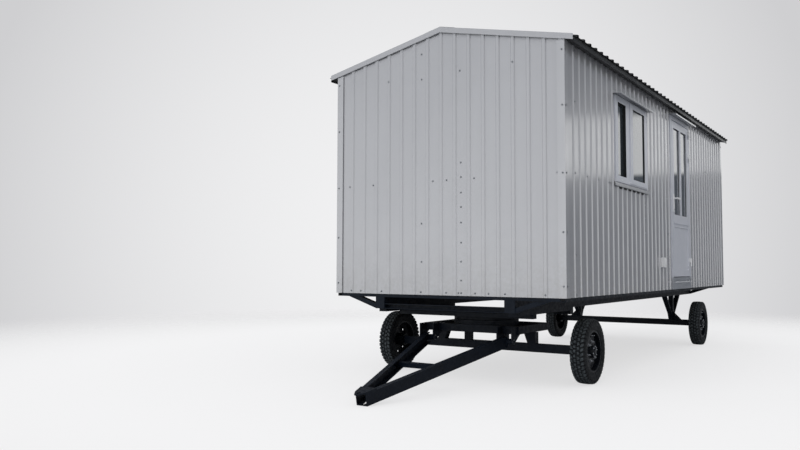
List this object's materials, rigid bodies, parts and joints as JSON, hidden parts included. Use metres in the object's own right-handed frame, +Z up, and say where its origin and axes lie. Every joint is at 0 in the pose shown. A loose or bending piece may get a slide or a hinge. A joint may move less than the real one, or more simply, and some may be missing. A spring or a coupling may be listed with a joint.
{
  "type": "wheeled portable cabin",
  "caption": "Ribbed steel-clad site cabin on two axles, with a turntable bogie, a lifting drawbar, a hinged door and a shallow gabled roof.",
  "frame": {"origin": "on the ground under the middle of the whole outline, drawbar included", "axes": "+X towards the door side, +Y towards the rear gable, away from the drawbar, +Z up"},
  "size_m": [2.6106, 7.5194, 3.2857],
  "materials": {
    "chassis_paint": "black satin paint",
    "floor_board": "sealed board",
    "wall_panel": "light grey lining",
    "cladding_paint": "light grey coated sheet steel",
    "roof_deck": "board",
    "roof_paint": "dark coated sheet",
    "window_plastic": "white profile",
    "threshold_metal": "brushed",
    "window_glass": "clear",
    "fitting_plastic": "white",
    "tyre_rubber": "matte",
    "wheel_paint": "black gloss"
  },
  "bodies": {
    "cabin": {"side_rails": "chassis_paint", "end_rails": "chassis_paint", "floor_joists": "chassis_paint", "floor_panel": "floor_board", "main_beam_left": "chassis_paint", "main_beam_right": "chassis_paint", "front_bracing": "chassis_paint", "rear_bracing": "chassis_paint", "front_wall": "wall_panel", "rear_wall": "wall_panel", "left_wall": "wall_panel", "right_wall_front": "wall_panel", "right_wall_rear": "wall_panel", "right_wall_over_door": "wall_panel", "gable_cladding": "cladding_paint", "side_cladding": "cladding_paint", "corner_trims": "cladding_paint", "roof_deck_left": "roof_deck", "roof_deck_right": "roof_deck", "roof_sheets": "roof_paint", "ridge_cap": "roof_paint", "barge_boards": "cladding_paint", "eave_fascias": "roof_paint", "window_frames": "window_plastic", "window_glass": "window_glass", "flashings": "cladding_paint", "door_jambs": "window_plastic", "door_head": "window_plastic", "door_threshold": "threshold_metal", "hinge_pins": "fitting_plastic", "socket_box": "fitting_plastic", "rear_axle": "chassis_paint", "rear_support_left": "chassis_paint", "rear_support_right": "chassis_paint", "turntable_frame": "chassis_paint", "upper_ring": "chassis_paint"},
    "bogie": {"bogie_frame": "chassis_paint", "lower_ring": "chassis_paint", "kingpin": "chassis_paint", "axle_posts": "chassis_paint", "drawbar_lugs": "chassis_paint", "front_axle": "chassis_paint"},
    "drawbar": {"drawbar_arm_left": "chassis_paint", "drawbar_arm_right": "chassis_paint", "drawbar_brace": "chassis_paint", "tow_eye": "chassis_paint"},
    "door": {"door_leaf": "window_plastic", "door_glass": "window_glass", "door_handle": "fitting_plastic", "hinge_barrels": "fitting_plastic"},
    "wheel_front_left": {"tyre_front_left": "tyre_rubber", "wheel_front_left": "wheel_paint"},
    "wheel_front_right": {"tyre_front_right": "tyre_rubber", "wheel_front_right": "wheel_paint"},
    "wheel_rear_left": {"tyre_rear_left": "tyre_rubber", "wheel_rear_left": "wheel_paint"},
    "wheel_rear_right": {"tyre_rear_right": "tyre_rubber", "wheel_rear_right": "wheel_paint"}
  },
  "joints": [
    {"name": "bogie_steer", "type": "hinge", "parent": "cabin", "child": "bogie", "pos_m": [0, -1.60725, 0.56], "axis": [0, 0, 1], "range_deg": [-60, 60]},
    {"name": "drawbar_lift", "type": "hinge", "parent": "bogie", "child": "drawbar", "pos_m": [0, -2.03725, 0.385], "axis": [-1, 0, 0], "range_deg": [0, 25]},
    {"name": "door_swing", "type": "hinge", "parent": "cabin", "child": "door", "pos_m": [1.222, 1.66125, 1.9], "axis": [0, 0, 1], "range_deg": [0, 105]},
    {"name": "wheel_front_left_spin", "type": "hinge", "parent": "bogie", "child": "wheel_front_left", "pos_m": [-1.045, -1.60725, 0.3], "axis": [1, 0, 0], "continuous": true},
    {"name": "wheel_front_right_spin", "type": "hinge", "parent": "bogie", "child": "wheel_front_right", "pos_m": [1.045, -1.60725, 0.3], "axis": [1, 0, 0], "continuous": true},
    {"name": "wheel_rear_left_spin", "type": "hinge", "parent": "cabin", "child": "wheel_rear_left", "pos_m": [-1.045, 2.77175, 0.3], "axis": [1, 0, 0], "continuous": true},
    {"name": "wheel_rear_right_spin", "type": "hinge", "parent": "cabin", "child": "wheel_rear_right", "pos_m": [1.045, 2.77175, 0.3], "axis": [1, 0, 0], "continuous": true}
  ]
}
